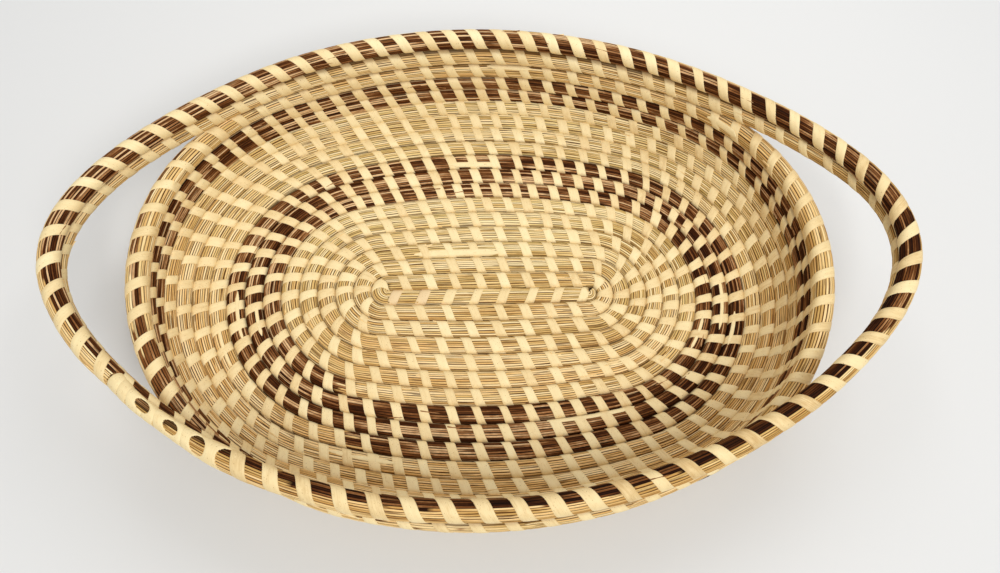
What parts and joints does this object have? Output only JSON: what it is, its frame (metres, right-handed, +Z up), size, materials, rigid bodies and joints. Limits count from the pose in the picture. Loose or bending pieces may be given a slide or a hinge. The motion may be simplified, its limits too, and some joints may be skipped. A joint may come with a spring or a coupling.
{
  "type": "coiled tray basket",
  "caption": "Oval coiled tray basket with a low wall and two open loop handles that grow out of its rim.",
  "frame": {"origin": "on the floor under the middle of the basket's outline", "axes": "+X along the length towards the higher handle, +Y towards the back side, +Z up out of the tray"},
  "size_m": [0.3566, 0.2292, 0.071],
  "materials": {
    "green_sweetgrass": "dry fine grass, satin",
    "sweetgrass": "dry fine grass, satin",
    "pine_needle": "dry pine needles, slightly glossy",
    "rim_bundle": "grass with pine needles laid over it",
    "palmetto": "dry palm leaf strip, satin"
  },
  "bodies": {
    "root": {"base_sweetgrass_coil": "green_sweetgrass", "lower_pine_band": "pine_needle", "wall_sweetgrass_coil": "sweetgrass", "upper_pine_band": "pine_needle", "body_rim_coil": "sweetgrass", "left_lower_handle_coil": "sweetgrass", "back_lower_rim_coil": "sweetgrass", "right_lower_handle_coil": "sweetgrass", "front_lower_rim_coil": "sweetgrass", "left_handle_coil": "rim_bundle", "back_rim_coil": "rim_bundle", "right_handle_coil": "rim_bundle", "front_rim_coil": "rim_bundle", "palmetto_wrapped_tail": "palmetto"}
  },
  "joints": []
}
